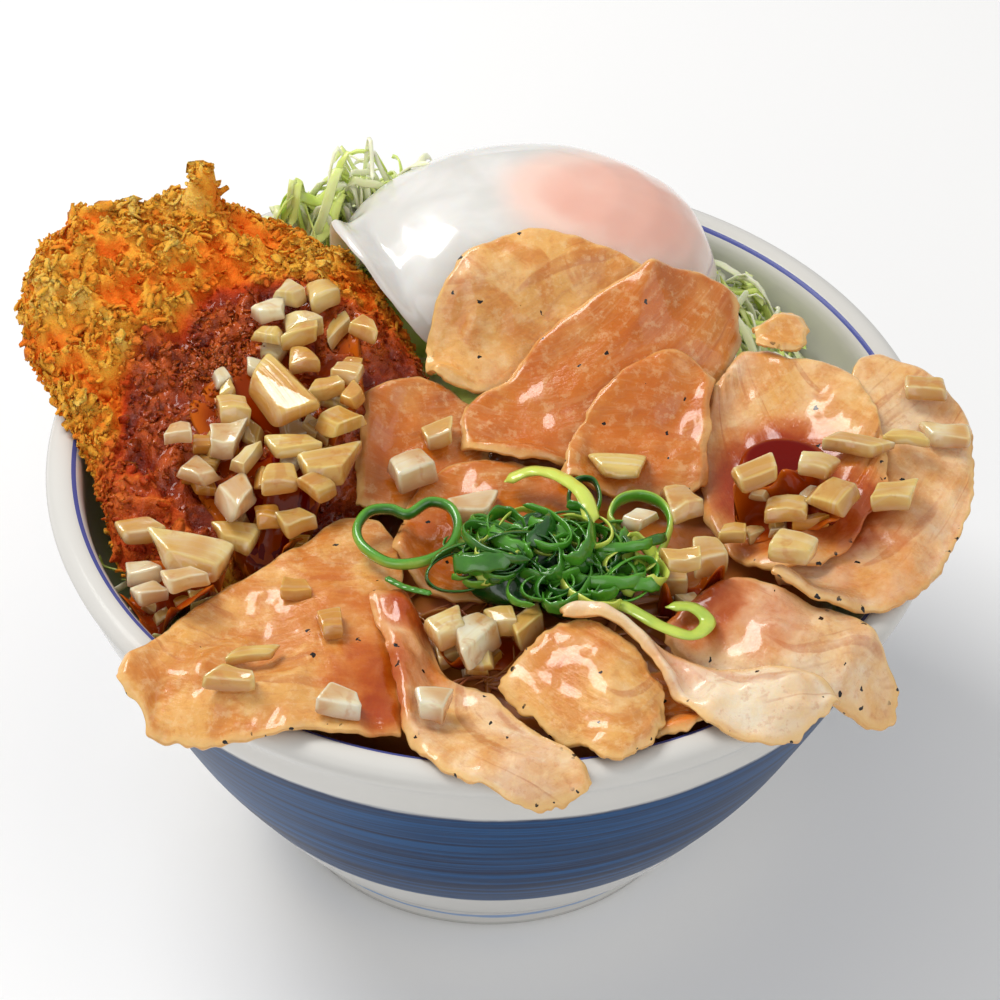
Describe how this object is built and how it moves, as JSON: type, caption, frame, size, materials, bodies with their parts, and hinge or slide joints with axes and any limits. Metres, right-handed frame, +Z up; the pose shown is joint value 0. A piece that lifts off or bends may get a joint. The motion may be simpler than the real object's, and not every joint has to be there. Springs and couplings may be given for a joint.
{
  "type": "bowl of roast pork katsu donburi",
  "caption": "Porcelain bowl filled with cabbage, a fried pork cutlet, a soft egg, roast pork slices, diced onion and cut green onion.",
  "frame": {"origin": "bottom centre of the bounding box of the bowl with its food; the bowl's own axis stands 2.8 mm behind it", "axes": "+Z up; +X to the right and +Y to the back as seen in the picture, with the cutlet on the left"},
  "size_m": [0.1889, 0.181, 0.1199],
  "materials": {
    "porcelain": "white glazed porcelain with a cobalt band and thin blue lines",
    "cabbage": "moist pale green and white shredded cabbage",
    "crust": "craggy fried breadcrumb crust, sauced dark on the right",
    "egg": "glossy soft egg white, pink over the yolk",
    "pork": "moist roast pork glazed with brown sauce, pepper specks",
    "sauce": "wet dark red-brown sauce",
    "onion": "translucent diced onion wet with sauce",
    "green_onion": "glossy cut green onion, dark to yellow-green"
  },
  "bodies": {
    "root": {"bowl": "porcelain", "cabbage_bed": "cabbage", "cutlet": "crust", "egg": "egg", "pork_sauced_low": "pork", "pork_front_left": "pork", "pork_clear_left": "pork", "pork_middle": "pork", "pork_front_right": "pork", "pork_far_right": "pork", "pork_front": "pork", "pork_back_left": "pork", "pork_back_middle": "pork", "pork_cupped": "pork", "pork_middle_right": "pork", "pork_fold": "pork", "pork_fat_strip": "pork", "pork_curled_tip": "pork", "sauce_pool": "sauce", "onion_heap_cutlet": "onion", "onion_heap_left": "onion", "onion_heap_front": "onion", "onion_heap_right": "onion", "onion_heap_pool": "onion", "green_onion_tangle": "green_onion", "green_onion_light_ring": "green_onion", "onion_01": "onion", "onion_02": "onion", "onion_03": "onion", "onion_04": "onion", "onion_05": "onion", "onion_06": "onion", "onion_07": "onion", "onion_08": "onion", "onion_09": "onion", "onion_10": "onion", "onion_11": "onion", "onion_12": "onion", "onion_13": "onion", "onion_14": "onion", "onion_15": "onion", "onion_16": "onion", "onion_17": "onion", "onion_18": "onion", "onion_19": "onion", "onion_20": "onion", "onion_21": "onion", "onion_22": "onion", "green_onion_heart": "green_onion", "green_onion_small_ring": "green_onion", "green_onion_yellow_strip": "green_onion", "green_onion_hook": "green_onion", "green_onion_thread": "green_onion"}
  },
  "joints": []
}
